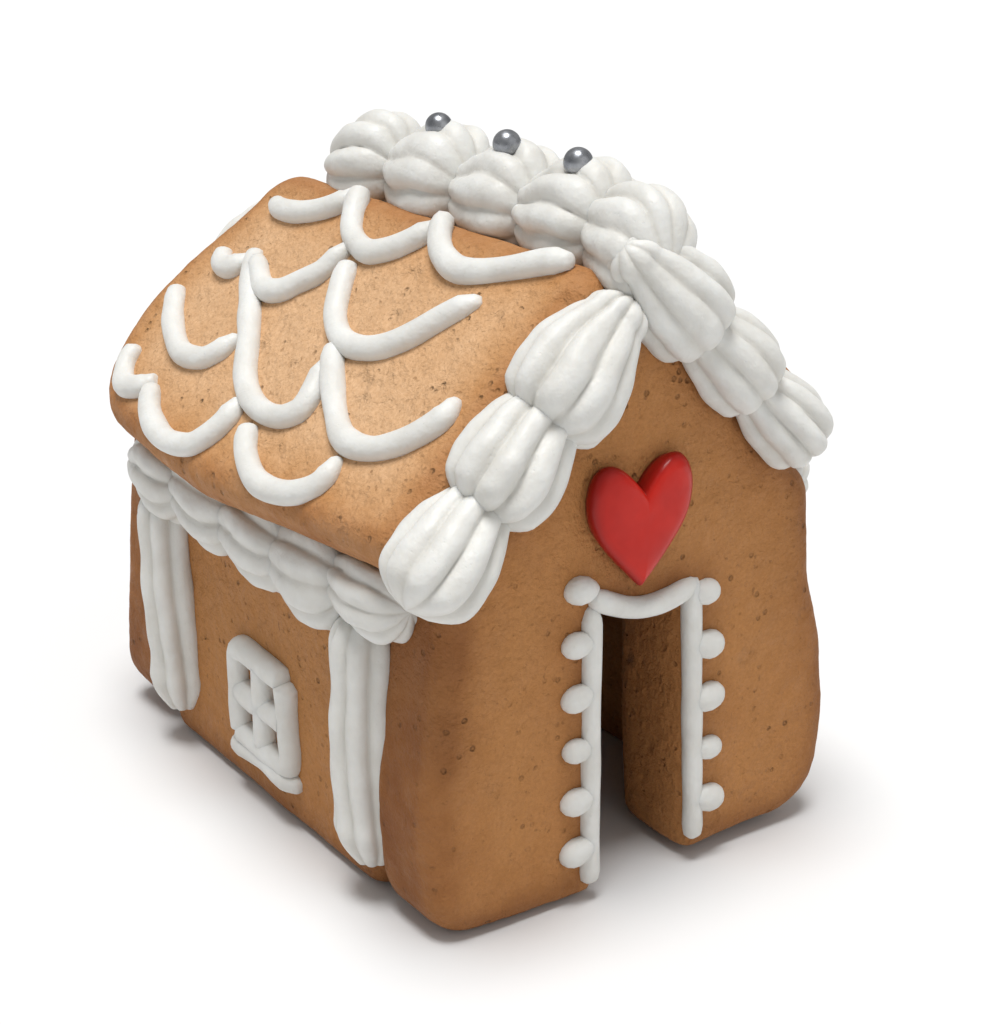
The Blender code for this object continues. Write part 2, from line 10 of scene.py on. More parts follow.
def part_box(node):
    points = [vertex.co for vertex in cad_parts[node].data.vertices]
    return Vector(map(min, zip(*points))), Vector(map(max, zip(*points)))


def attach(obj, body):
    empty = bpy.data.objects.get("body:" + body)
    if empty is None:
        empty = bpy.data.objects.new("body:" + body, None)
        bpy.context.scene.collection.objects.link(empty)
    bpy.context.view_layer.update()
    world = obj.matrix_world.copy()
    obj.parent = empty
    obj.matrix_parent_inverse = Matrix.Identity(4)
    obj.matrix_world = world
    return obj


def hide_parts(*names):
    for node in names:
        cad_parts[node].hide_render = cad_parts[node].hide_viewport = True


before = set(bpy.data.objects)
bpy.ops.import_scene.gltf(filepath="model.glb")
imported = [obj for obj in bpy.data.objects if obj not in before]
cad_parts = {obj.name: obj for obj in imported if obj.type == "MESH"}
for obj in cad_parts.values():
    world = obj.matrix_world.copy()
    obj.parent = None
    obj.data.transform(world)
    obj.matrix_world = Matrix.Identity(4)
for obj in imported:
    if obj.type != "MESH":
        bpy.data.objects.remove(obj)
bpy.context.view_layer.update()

MM = 0.001
SLOPE = math.radians(45)
HALF_DEPTH = 30.8 * MM
LEAN = 0.05
GABLE_THICK = 9.8 * MM
SIDE_THICK = 6.0 * MM
SIDE_HEIGHT = 34.0 * MM
ROOF_THICK = 5.5 * MM
GABLE_RIM = 2.6 * MM
SIDE_RIM = 2.2 * MM
ROOF_RIM = 2.4 * MM
GABLE_HEEL = 4.0 * MM             # rounding of the legs' inner lower edge
GAP = 0.3 * MM
APEX_Z = 53.2 * MM
SIDE_X = 20.4 * MM
WALL_X = 22.0 * MM
EAVE_X = 19.4 * MM
DOOR_TOP = 26.6 * MM
DOOR_EDGE_TOP = {-1: -4.7 * MM, 1: 4.3 * MM}
DOOR_EDGE_FOOT = {-1: -4.4 * MM, 1: 5.6 * MM}
LEG_BULGE = {"front": 1.0 * MM, "back": -0.6 * MM}
LEG_LIFT = {"front": 0.7 * MM, "back": 0.0}
SIDES = {"left": -1, "right": 1}

# The house was modelled round the door's middle plane, then centred on its footprint. This is that move.
wall_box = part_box("left_wall")
other_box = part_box("right_wall")
SHIFT = Vector(((wall_box[0].x + other_box[1].x) / 2, wall_box[0].y + HALF_DEPTH - GABLE_THICK - GAP, 0))
MOVE = Matrix.Translation(SHIFT)


# Places of the panels: u runs along a panel, v up or down it, w out of its face.

def wall_matrix(turn, distance):
    """A wall that faces -Y when turn is 0, its outer face at that distance from the middle."""
    upright = Matrix.Rotation(math.pi / 2, 4, "X")
    return Matrix.Rotation(turn, 4, "Z") @ Matrix.Translation((0, -distance, 0)) @ upright


def roof_matrix(side):
    """A roof panel's outer face, for side -1 or 1: u runs along Y, v down the slope from the ridge."""
    down = Vector((side * math.cos(SLOPE), 0, -math.sin(SLOPE)))
    out = Vector((side * math.sin(SLOPE), 0, math.cos(SLOPE)))
    top = Vector((0, 0, APEX_Z)) + out * (ROOF_THICK + GAP)
    return MOVE @ Matrix.Translation(top) @ Matrix((Vector((0, 1, 0)), down, out)).transposed().to_4x4()


SHEAR = Matrix(((1, 0, 0, 0), (0, 1, -LEAN, 0), (0, 0, 1, 0), (0, 0, 0, 1)))
GABLE_PLACE = {
    "front": MOVE @ wall_matrix(0, HALF_DEPTH),
    "back": MOVE @ SHEAR @ wall_matrix(math.pi, HALF_DEPTH),
}
WALL_PLACE = {
    "left": MOVE @ wall_matrix(-math.pi / 2, SIDE_X),
    "right": MOVE @ wall_matrix(math.pi / 2, SIDE_X),
}
ROOF_PLACE = {side: roof_matrix(sign) for side, sign in SIDES.items()}


# Materials

def nodes_of(name):
    """A new material, its node tree and its Principled shader."""
    made = bpy.data.materials.new(name)
    made.use_nodes = True
    tree = made.node_tree
    return made, tree, tree.nodes["Principled BSDF"]


class Net:
    """Short hand for wiring a node tree."""

    def __init__(self, tree):
        self.tree = tree
        self.place = self.add("ShaderNodeTexCoord").outputs["Object"]

    def add(self, kind, **settings):
        """A new node, with its settings."""
        node = self.tree.nodes.new(kind)
        for key, value in settings.items():
            setattr(node, key, value)
        return node

    def link(self, source, target):
        """Joins two sockets."""
        self.tree.links.new(source, target)

    def noise(self, scale, detail=3.0, rough=0.55):
        """Soft noise over the piece."""
        node = self.add("ShaderNodeTexNoise")
        node.inputs["Scale"].default_value = scale
        node.inputs["Detail"].default_value = detail
        node.inputs["Roughness"].default_value = rough
        self.link(self.place, node.inputs["Vector"])
        return node.outputs["Fac"]

    def cells(self, scale):
        """How far each spot is from the nearest of many scattered points."""
        node = self.add("ShaderNodeTexVoronoi")
        node.inputs["Scale"].default_value = scale
        self.link(self.place, node.inputs["Vector"])
        return node.outputs["Distance"]

    def span(self, source, low, high, to_low=0.0, to_high=1.0):
        """The source stretched from one range to another, and held at its ends."""
        node = self.add("ShaderNodeMapRange")
        for name, value in (("From Min", low), ("From Max", high), ("To Min", to_low), ("To Max", to_high)):
            node.inputs[name].default_value = value
        self.link(source, node.inputs["Value"])
        return node.outputs["Result"]

    def mix(self, share, first, second):
        """From the first colour to the second, by the share."""
        node = self.add("ShaderNodeMix", data_type="RGBA")
        for socket, value in ((node.inputs[0], share), (node.inputs[6], first), (node.inputs[7], second)):
            if isinstance(value, (int, float)):
                socket.default_value = value
            elif isinstance(value, tuple):
                socket.default_value = (*value, 1)
            else:
                self.link(value, socket)
        return node.outputs[2]

    def math(self, kind, first, second):
        """One sum of two numbers or sockets."""
        node = self.add("ShaderNodeMath", operation=kind)
        for socket, value in zip(node.inputs, (first, second)):
            if isinstance(value, (int, float)):
                socket.default_value = value
            else:
                self.link(value, socket)
        return node.outputs[0]

    def bump(self, heights, shader):
        """Chains (height, strength, distance) bumps into the shader's normal."""
        before = None
        for height, strength, distance in heights:
            node = self.add("ShaderNodeBump")
            node.inputs["Strength"].default_value = strength
            node.inputs["Distance"].default_value = distance
            self.link(height, node.inputs["Height"])
            if before:
                self.link(before, node.inputs["Normal"])
            before = node.outputs["Normal"]
        self.link(before, shader.inputs["Normal"])


def gingerbread(name, pale, deep, edge_brown_and_shade, glow):
    """Baked biscuit: soft mottling, a darker rim that is partly oven browning and partly painted shade, spice
    specks, pores with painted shade in them, and crumb.
    """
    made, tree, shader = nodes_of(name)
    net = Net(tree)
    middle = net.add("ShaderNodeAttribute", attribute_name="middle").outputs["Fac"]
    broad = net.span(net.noise(90, 3), 0.32, 0.68, 0.0, 1.0 - glow)
    broad = net.math("ADD", broad, net.math("MULTIPLY", middle, glow))
    ground = net.mix(broad, deep, pale)
    patch = net.span(net.noise(420, 4, 0.6), 0.35, 0.7)
    ground = net.mix(net.math("MULTIPLY", patch, 0.35), ground, tuple(c * 1.22 for c in pale))
    fine = net.math("MULTIPLY", net.span(net.noise(2600, 3, 0.7), 0.38, 0.62), 0.30)
    ground = net.mix(fine, ground, tuple(c * 0.74 for c in deep))
    # The rim's darker colour is partly oven browning and partly painted shade on the cookies' edges and feet.
    rim = net.add("ShaderNodeAttribute", attribute_name="rim").outputs["Fac"]
    rim = net.math("MULTIPLY", rim, net.span(net.noise(150, 2), 0.2, 0.8, 0.45, 1.0))
    ground = net.mix(rim, ground, edge_brown_and_shade)
    specks = net.span(net.noise(1500, 2, 0.5), 0.66, 0.74)
    ground = net.mix(net.math("MULTIPLY", specks, 0.55), ground, tuple(c * 0.45 for c in deep))
    # Painted shade: the pores are darkened in the colour, as well as dented by the bump below.
    pores = net.span(net.cells(780), 0.10, 0.24, 1.0, 0.0)
    wide = net.span(net.noise(300, 2), 0.50, 0.62)
    pores = net.math("MULTIPLY", pores, wide)
    ground = net.mix(net.math("MULTIPLY", pores, 0.45), ground, tuple(c * 0.5 for c in deep))
    net.link(ground, shader.inputs["Base Color"])
    net.link(net.span(net.noise(600, 3), 0.3, 0.7, 0.58, 0.82), shader.inputs["Roughness"])
    shader.inputs["Specular IOR Level"].default_value = 0.22
    crumb = net.noise(1900, 4, 0.65)
    grain = net.noise(700, 3, 0.6)
    dents = net.math("MULTIPLY", pores, -1.0)
    craters = net.span(net.cells(270), 0.10, 0.30, -1.0, 0.0)
    craters = net.math("MULTIPLY", craters, net.span(net.noise(170, 2), 0.48, 0.6))
    net.bump([
        (grain, 0.75, 0.0006),
        (craters, 0.6, 0.0005),
        (crumb, 0.8, 0.0003),
        (dents, 0.8, 0.0004),
    ], shader)
    return made


def icing(name, colour, shade):
    """Dried royal icing: matt satin, faintly uneven, with drag streaks, tiny pits, and painted shade in the
    grooves of its flutes.
    """
    made, tree, shader = nodes_of(name)
    net = Net(tree)
    uneven = net.span(net.noise(260, 3), 0.3, 0.7)
    tone = net.mix(uneven, shade, colour)
    # Painted shade: the flutes' grooves are darkened in the colour.
    groove = net.add("ShaderNodeAttribute", attribute_name="groove").outputs["Fac"]
    groove_shade_tone = tuple(c * f for c, f in zip(shade, (0.86, 0.83, 0.78)))
    tone = net.mix(net.math("MULTIPLY", groove, 0.55), tone, groove_shade_tone)
    net.link(tone, shader.inputs["Base Color"])
    net.link(net.span(net.noise(900, 2), 0.3, 0.7, 0.42, 0.6), shader.inputs["Roughness"])
    shader.inputs["Specular IOR Level"].default_value = 0.4
    shader.inputs["Subsurface Weight"].default_value = 0.18
    shader.inputs["Subsurface Radius"].default_value = (1.0, 0.8, 0.6)
    shader.inputs["Subsurface Scale"].default_value = 0.0007
    pits = net.span(net.cells(1500), 0.05, 0.16, 0.0, 1.0)
    net.bump([
        (net.noise(520, 3), 0.5, 0.0004),
        (net.noise(2300, 2), 0.3, 0.0001),
        (pits, 0.25, 0.0001),
    ], shader)
    return made


def red_icing():
    """Run-in icing with a set, glossy skin."""
    made, tree, shader = nodes_of("red_icing")
    net = Net(tree)
    rim = net.add("ShaderNodeAttribute", attribute_name="rim").outputs["Fac"]
    body = net.mix(net.span(net.noise(240, 3), 0.3, 0.7), (0.46, 0.010, 0.004), (0.58, 0.017, 0.007))
    net.link(net.mix(rim, body, (0.27, 0.008, 0.006)), shader.inputs["Base Color"])
    shader.inputs["Roughness"].default_value = 0.32
    shader.inputs["Specular IOR Level"].default_value = 0.2
    shader.inputs["Coat Weight"].default_value = 0.15
    shader.inputs["Coat Roughness"].default_value = 0.10
    shader.inputs["Subsurface Weight"].default_value = 0.08
    shader.inputs["Subsurface Scale"].default_value = 0.0006
    net.bump([(net.noise(330, 2), 0.3, 0.0004), (net.noise(1500, 2), 0.12, 0.00008)], shader)
    return made


def pearl():
    """Silver sugar pearl: a thin metal skin, slightly dull."""
    made, tree, shader = nodes_of("silver_pearl")
    net = Net(tree)
    tone = net.mix(net.span(net.noise(900, 3), 0.3, 0.7), (0.20, 0.21, 0.23), (0.38, 0.39, 0.41))
    net.link(tone, shader.inputs["Base Color"])
    shader.inputs["Metallic"].default_value = 0.9
    net.link(net.span(net.noise(1600, 2), 0.3, 0.7, 0.22, 0.4), shader.inputs["Roughness"])
    net.bump([(net.noise(1400, 2), 0.25, 0.00006)], shader)
    return made


WALL_COOKIE = gingerbread(
    "wall_gingerbread",
    pale=(0.475, 0.221, 0.076),
    deep=(0.415, 0.179, 0.056),
    edge_brown_and_shade=(0.20, 0.070, 0.021),
    glow=0.35,
)
ROOF_COOKIE = gingerbread(
    "roof_gingerbread",
    pale=(0.645, 0.408, 0.231),
    deep=(0.52, 0.256, 0.091),
    edge_brown_and_shade=(0.29, 0.105, 0.028),
    glow=0.7,
)
WHITE = icing("royal_icing", (0.71, 0.71, 0.685), (0.62, 0.61, 0.575))
RED = red_icing()
PEARL = pearl()


# Mesh helpers

def mesh_object(name, points, faces, material):
    """A smooth object that rides on the house."""
    mesh = bpy.data.meshes.new(name)
    mesh.from_pydata([tuple(p) for p in points], [], faces)
    mesh.update()
    made = bpy.data.objects.new(name, mesh)
    bpy.context.scene.collection.objects.link(made)
    mesh.materials.append(material)
    mesh.shade_smooth()
    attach(made, "root")
    return made


def rings_mesh(rings, base=0):
    """Faces of a closed tube through rings of points, capped at both ends by a fan to its middle."""
    count = len(rings[0])
    points = [p for ring in rings for p in ring]
    faces = []
    for i in range(len(rings) - 1):
        low = base + i * count
        for k in range(count):
            j = (k + 1) % count
            faces.append((low + k, low + j, low + count + j, low + count + k))
    for ring_index, flip in ((0, True), (len(rings) - 1, False)):
        middle = base + len(points)
        points.append(sum((Vector(p) for p in rings[ring_index]), Vector()) / count)
        start = base + ring_index * count
        for k in range(count):
            j = (k + 1) % count
            face = (start + k, start + j, middle)
            faces.append(face[::-1] if flip else face)
    return points, faces


class Piping:
    """Gathers many strokes of icing in one mesh."""

    def __init__(self):
        self.points = []
        self.faces = []
        self.grooves = []

    def add(self, rings, groove=None):
        """Takes in one stroke, as rings of points, with how deep in a groove each point lies, for the painted
        groove shade.
        """
        points, faces = rings_mesh(rings, len(self.points))
        self.points += points
        self.faces += faces
        count = sum(len(r) for r in rings)
        self.grooves += (groove if groove else [0.0] * count) + [0.0] * (len(points) - count)

    def build(self, name):
        """The object made of all the strokes."""
        made = mesh_object(name, self.points, self.faces, WHITE)
        bm = bmesh.new()
        bm.from_mesh(made.data)
        bmesh.ops.recalc_face_normals(bm, faces=bm.faces)
        bm.to_mesh(made.data)
        bm.free()
        layer = made.data.attributes.new("groove", "FLOAT", "POINT")
        layer.data.foreach_set("value", np.array(self.grooves, np.float32))
        return made


def curve_through(points, step):
    """Points at an even step along a smooth curve through the given ones."""
    spots = [Vector(p) for p in points]
    dense = []
    for i in range(len(spots) - 1):
        a, b = spots[i], spots[i + 1]
        before = spots[i - 1] if i else a + (a - b)
        after = spots[i + 2] if i + 2 < len(spots) else b + (b - a)
        for k in range(12):
            t = k / 12
            dense.append(0.5 * (
                2 * a + (b - before) * t + (2 * before - 5 * a + 4 * b - after) * t * t
                + (3 * a - before - 3 * b + after) * t ** 3
            ))
    dense.append(spots[-1])
    run = [dense[0]]
    for p in dense[1:]:
        while (p - run[-1]).length >= step:
            run.append(run[-1] + (p - run[-1]).normalized() * step)
    run.append(dense[-1])
    return run


STROKE_SIDES = 16
STROKE_STEP = 0.45 * MM


def stroke(piping, place, points, radius, seed=0, sink=0.25, taper=(0.75, 0.5)):
    """A hand-piped line on a panel: round on top, uneven along its length, with rounded ends."""
    run = curve_through(points, STROKE_STEP)
    rings = []
    last = len(run) - 1
    for i, spot in enumerate(run):
        ahead = (run[min(i + 1, last)] - run[max(i - 1, 0)]).normalized()
        across = ahead.cross(Vector((0, 0, 1))).normalized()
        uneven = 1 + 0.12 * noise.noise(spot * 260 + Vector((seed, 0, 0)))
        near_start = min(1.0, i * STROKE_STEP / (radius * 1.3))
        near_end = min(1.0, (last - i) * STROKE_STEP / (radius * 1.6))
        size = radius * uneven
        size *= taper[0] + (1 - taper[0]) * near_start if near_start else 0.35
        size *= taper[1] + (1 - taper[1]) * near_end if near_end else 0.35
        wobble = across * radius * 0.10 * noise.noise(spot * 190 + Vector((0, seed, 5)))
        centre = spot + wobble + Vector((0, 0, 1)) * size * sink
        ring = []
        for k in range(STROKE_SIDES):
            turn = 2 * math.pi * k / STROKE_SIDES
            spread = across * math.cos(turn) * 1.04 + Vector((0, 0, 1)) * math.sin(turn)
            ring.append(place @ (centre + size * spread))
        rings.append(ring)
    piping.add(rings)


DROP_POINT = 0.35


def drop(piping, place, spot, size, lean=0.0, seed=0):
    """A small pressed dot of icing, drawn out a little where the tip left it."""
    rng = random.Random(seed)
    rings = []
    scale = 1 + rng.uniform(-0.12, 0.12)
    tail = Vector((math.sin(lean), -math.cos(lean), 0))
    side = Vector((tail.y, -tail.x, 0))
    for i in range(9):
        phi = math.pi * i / 8
        along = -math.cos(phi)
        girth = max(0.02, math.sin(phi) ** (1.0 if along < 0 else 1.0 + DROP_POINT * 1.6))
        reach = along * (1 + (DROP_POINT if along > 0 else 0))
        ring = []
        for k in range(14):
            turn = 2 * math.pi * k / 14
            p = tail * size[1] * scale * reach
            p = p + side * size[0] * scale * girth * math.cos(turn)
            p = p + Vector((0, 0, 1)) * size[2] * scale * girth * math.sin(turn)
            ring.append(place @ (Vector(spot) + p))
        rings.append(ring)
    piping.add(rings)


def round_noise(turn, spread, along):
    """Noise on a circle, so that it has no seam where the turn closes."""
    return noise.noise(Vector((math.cos(turn) * spread, math.sin(turn) * spread, along)))


def shell(piping, base, along, out, length, width, height, flutes=9, depth=0.20, twist=0.0, seed=0, tail=0.0):
    """A shell from a star tip: a fat round head, deep lengthwise ridges, and a tail that thins out."""
    along = Vector(along).normalized()
    out = Vector(out).normalized()
    across = along.cross(out).normalized()
    rng = random.Random(seed)
    phase = rng.uniform(0, 1)
    lopsided = rng.uniform(-0.06, 0.06)
    depths = [depth * rng.uniform(0.6, 1.35) for _ in range(flutes)]
    rings = []
    grooves = []
    steps = 34
    sides = flutes * 12
    for i in range(steps + 1):
        share = i / steps
        swell = math.sin(math.pi * (0.10 + 0.86 * share) ** 0.72) ** 0.66
        if share < 0.16:
            swell *= math.sqrt(max(0.0, 1 - (1 - share / 0.16) ** 2)) * 0.985 + 0.015
        if tail:
            swell = max(swell, tail * math.sqrt(max(0.0, 1 - max(0.0, (share - 0.86) / 0.14) ** 2)))
        swell = max(0.03, swell)
        centre = Vector(base) + along * (share - 0.45) * length
        centre += across * width * (lopsided * math.sin(math.pi * share))
        centre += out * height * 0.05 * math.sin(2 * math.pi * share)
        ring = []
        for k in range(sides):
            turn = 2 * math.pi * k / sides
            drag = 0.5 * round_noise(turn, 1.1, share * 2.5 + seed * 1.7)
            angle = flutes * (turn + phase) / 2 + twist * share + drag
            wave = abs(math.cos(angle))
            cut = (1 - wave ** 0.75) * depths[math.floor(angle / math.pi) % flutes]
            ripple = 0.03 * round_noise(turn, 2.2, share * 7 + seed)
            ripple += 0.012 * round_noise(turn, 9, share * 5 + seed)
            reach = swell * (1 - cut + ripple)
            sideways = across * (width / 2 * reach * math.cos(turn))
            ring.append(centre + sideways + out * (height * reach * math.sin(turn)))
            # How deep in a flute each point lies, which sets its painted shade.
            grooves.append((1 - wave) ** 1.6)
        rings.append(ring)
    piping.add(rings, grooves)


ROPE_FLUTES = 8


def rope(piping, foot, head, out, half_width, height, bend=0.0, seed=0):
    """An upright fluted rope with soft swells where the hand slowed down."""
    foot, head, out = Vector(foot), Vector(head), Vector(out).normalized()
    along = (head - foot).normalized()
    across = along.cross(out).normalized()
    rings = []
    grooves = []
    steps = 60
    sides = ROPE_FLUTES * 12
    for i in range(steps + 1):
        share = i / steps
        swell = 1 - 0.65 * max(0.0, 1 - share * 6) ** 1.5
        swell *= 1 - 0.45 * max(0.0, 1 - (1 - share) * 9) ** 2
        if i in (0, steps):
            swell *= 0.2
        swell *= 1 + 0.035 * math.sin(share * 11 + seed) + 0.02 * math.sin(share * 27 + seed * 2)
        centre = foot.lerp(head, share) + across * bend * math.sin(share * 5)
        ring = []
        for k in range(sides):
            turn = 2 * math.pi * k / sides
            wave = abs(math.cos(ROPE_FLUTES * turn / 2 + 0.5 * math.sin(share * 4 + seed)))
            reach = swell * (1 - (1 - wave ** 0.8) * 0.20)
            sideways = across * half_width * reach * math.cos(turn)
            ring.append(centre + sideways + out * height * reach * math.sin(turn))
            # How deep in a flute each point lies, which sets its painted shade.
            grooves.append((1 - wave) ** 1.6)
        rings.append(ring)
    piping.add(rings, grooves)


# Cookies

VOXEL = 0.37 * MM
ARC_STEPS = 8
BROWN_REACH = 1.6 * MM            # how fast the rim's browning and painted shade fade inwards
MIDDLE_START = 3.0 * MM           # how far in from the edge a cookie starts to get paler
MIDDLE_REACH = 5.0 * MM
SLOT_HALF = 6.2 * MM              # the slot's cut edges, which get little of the rim's browning and painted shade, lie within this


def rounded(corners):
    """The points and rim shares of an outline through (u, v, radius, rim share) corners, each rounded."""
    points = []
    shares = []
    count = len(corners)
    for i, (u, v, radius, share) in enumerate(corners):
        here = Vector((u, v))
        before = (Vector(corners[i - 1][:2]) - here).normalized()
        after = (Vector(corners[(i + 1) % count][:2]) - here).normalized()
        half = before.angle(after) / 2
        reach = radius / math.tan(half)
        centre = here + (before + after).normalized() * (radius / math.sin(half))
        start = here + before * reach - centre
        sweep = start.angle_signed(here + after * reach - centre)
        for k in range(ARC_STEPS + 1):
            turned = start.copy()
            turned.rotate(Matrix.Rotation(-sweep * k / ARC_STEPS, 2))
            points.append(centre + turned)
            shares.append(share)
    return points, shares


def offset(points, distances):
    """The outline moved outwards by a distance at each point."""
    moved = []
    count = len(points)
    for i, point in enumerate(points):
        a = (point - points[i - 1]).normalized()
        b = (points[(i + 1) % count] - point).normalized()
        normal_a = Vector((a.y, -a.x))
        normal_b = Vector((b.y, -b.x))
        mitre = (normal_a + normal_b) / (1 + normal_a.dot(normal_b))
        moved.append(point + mitre * distances[i])
    return moved


def edge_distance(spots, outline):
    """How far each point of a panel is from its outline, seen flat on."""
    corners = np.array([tuple(p) for p in outline])
    nearest = np.full(len(spots), 1.0)
    for a, b in zip(corners, np.roll(corners, -1, axis=0)):
        along = b - a
        share = np.clip(((spots[:, :2] - a) @ along) / max(along @ along, 1e-12), 0, 1)
        nearest = np.minimum(nearest, np.linalg.norm(spots[:, :2] - a - share[:, None] * along, axis=1))
    return nearest


def round_heel(spots, thick, radius):
    """Rounds the inner lower edge of a gable's legs, where they stood longest on the tray."""
    deep = spots[:, 2] + thick - radius
    low = spots[:, 1] - radius
    far = np.hypot(deep, low)
    corner = (deep < 0) & (low < 0) & (far > radius)
    pull = np.where(corner, radius / np.maximum(far, 1e-9), 1.0)
    spots[:, 2] = np.where(corner, deep * pull - thick + radius, spots[:, 2])
    spots[:, 1] = np.where(corner, low * pull + radius, spots[:, 1])


def cookie(name, outline, thick, rim, place, material, seed, heel=0.0):
    """A slab from the oven: rounded edges, a faintly domed and rippled face, and a rim darkened partly by
    browning and partly by painted shade.
    """
    points, shares = outline
    rings = []
    steps = 7
    for face, inwards in ((-thick, 1), (0.0, -1)):
        levels = range(steps + 1) if inwards > 0 else reversed(range(steps + 1))
        for k in levels:
            turn = math.pi / 2 * k / steps
            pulled = [-rim * share * (1 - math.sin(turn)) for share in shares]
            w = face + inwards * rim * (1 - math.cos(turn))
            rings.append([Vector((p.x, p.y, w)) for p in offset(points, pulled)])
    bm = bmesh.new()
    made = [[bm.verts.new(p) for p in ring] for ring in rings]
    count = len(rings[0])
    for low, high in zip(made, made[1:]):
        for i in range(count):
            j = (i + 1) % count
            bm.faces.new((low[i], low[j], high[j], high[i]))
    caps = [bm.faces.new(made[0]), bm.faces.new(made[-1])]
    bmesh.ops.recalc_face_normals(bm, faces=bm.faces)
    bm.normal_update()
    bmesh.ops.triangulate(bm, faces=caps)
    mesh = bpy.data.meshes.new(name)
    bm.to_mesh(mesh)
    bm.free()
    holder = bpy.data.objects.new(name + "_form", mesh)
    bpy.context.scene.collection.objects.link(holder)
    remesh = holder.modifiers.new("even", "REMESH")
    remesh.mode = "VOXEL"
    remesh.voxel_size = VOXEL
    smooth = holder.modifiers.new("soft", "SMOOTH")
    smooth.factor = 0.5
    smooth.iterations = 3
    bpy.context.view_layer.update()
    result = bpy.data.meshes.new_from_object(holder.evaluated_get(bpy.context.evaluated_depsgraph_get()))
    bpy.data.objects.remove(holder)
    result.name = name
    count = len(result.vertices)
    spots = np.zeros(count * 3)
    result.vertices.foreach_get("co", spots)
    spots = spots.reshape(-1, 3)
    normals = np.array([v.normal for v in result.vertices])
    shift = Vector((seed * 3.1, seed * 1.7, 0))
    lift = np.zeros(count)
    for i, p in enumerate(spots):
        q = Vector(p)
        lift[i] = 0.16 * noise.noise(q * 110 + shift) + 0.07 * noise.noise(q * 420 + shift)
        lift[i] += 0.035 * noise.noise(q * 1300 + shift)
    facing = np.abs(normals[:, 2])
    moved = spots + normals * (lift * MM)[:, None]
    if heel:
        round_heel(moved, thick, heel)
    inside = edge_distance(spots, points)
    # The rim's darkness is partly oven browning and partly painted shade: the sides get all of it, and a band
    # along the outline fades from it.
    brown_and_shade = np.clip(1.15 - facing * 1.25, 0, 1)
    brown_and_shade = np.maximum(brown_and_shade, np.exp(-np.maximum(inside - rim * 0.7, 0) / BROWN_REACH) * 0.8)
    if heel:
        in_slot = (np.abs(spots[:, 0]) < SLOT_HALF) & (spots[:, 1] < DOOR_TOP + 1.0 * MM)
        brown_and_shade = np.where(in_slot, brown_and_shade * 0.3, brown_and_shade)
    layer = result.attributes.new("rim", "FLOAT", "POINT")
    layer.data.foreach_set("value", brown_and_shade.astype(np.float32))
    paler = np.clip((inside - MIDDLE_START) / MIDDLE_REACH, 0, 1)
    layer = result.attributes.new("middle", "FLOAT", "POINT")
    layer.data.foreach_set("value", paler.astype(np.float32))
    result.vertices.foreach_set("co", moved.ravel())
    result.transform(place)
    for vert in result.vertices:
        vert.co.z = max(vert.co.z, 0.0)
    if place.determinant() < 0:
        result.flip_normals()
    result.materials.clear()
    result.materials.append(material)
    result.shade_smooth()
    piece = bpy.data.objects.new(name, result)
    bpy.context.scene.collection.objects.link(piece)
    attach(piece, "root")
    return piece


def gable_outline(end):
    """Anticlockwise from the foot of the door. The legs differ a little, as they came out of the oven."""
    lift = LEG_LIFT[end]
    bulge = LEG_BULGE[end]
    return rounded([
        (DOOR_EDGE_FOOT[1], lift, 1.1 * MM, 0.35),
        (WALL_X - 0.4 * MM, lift, 6 * MM, 0.8),
        (WALL_X + bulge, 10 * MM, 12 * MM, 1.0),
        (WALL_X + bulge - 0.7 * MM, 18 * MM, 10 * MM, 1.0),
        (EAVE_X + 0.9 * MM, 24 * MM, 12 * MM, 1.0),
        (EAVE_X, APEX_Z - EAVE_X, 2.8 * MM, 1.0),
        (0, APEX_Z, 3.0 * MM, 1.0),
        (-EAVE_X, APEX_Z - EAVE_X, 2.8 * MM, 1.0),
        (-WALL_X, 11 * MM, 30 * MM, 1.0),
        (-WALL_X + 1.2 * MM, 0, 4.5 * MM, 0.8),
        (DOOR_EDGE_FOOT[-1], 0, 1.1 * MM, 0.35),
        (DOOR_EDGE_TOP[-1], DOOR_TOP, 1.2 * MM, 0.35),
        (DOOR_EDGE_TOP[1], DOOR_TOP, 1.2 * MM, 0.35),
    ])


def side_outline(side):
    """Fills the space between the gables, so its back edge leans with the back gable."""
    half = HALF_DEPTH - GABLE_THICK - GAP
    lean = LEAN * SIDE_HEIGHT
    left_top = -half + (lean if side == "left" else 0)
    right_top = half - (0 if side == "left" else lean)
    return rounded([
        (-half, 0, 2.5 * MM, 0.7),
        (half, 0, 2.5 * MM, 0.7),
        (right_top, SIDE_HEIGHT, 2.5 * MM, 1.0),
        (left_top, SIDE_HEIGHT, 2.5 * MM, 1.0),
    ])


# The roof panels, for the front and back edges along u, and how far v runs down the slope. The bow is
# how far in the back edge is at the first of two shares of the slope, and widest at the second.
ROOF_FRONT = -30.2 * MM
ROOF_BACK_TOP = 21.4 * MM
ROOF_BACK_LOW = {"left": 27.4 * MM, "right": 28.0 * MM}
ROOF_BACK_RADIUS = {"left": 10.0 * MM, "right": 7.0 * MM}
ROOF_BACK_BOW = {"left": (1.2 * MM, 0.42, 0.60), "right": (1.6 * MM, 0.46, 0.66)}
ROOF_BACK_CUT = {"left": (0.8 * MM, 1.2 * MM), "right": (0.2 * MM, 0.4 * MM)}
ROOF_LOW = {"left": 32 * MM, "right": 28 * MM}


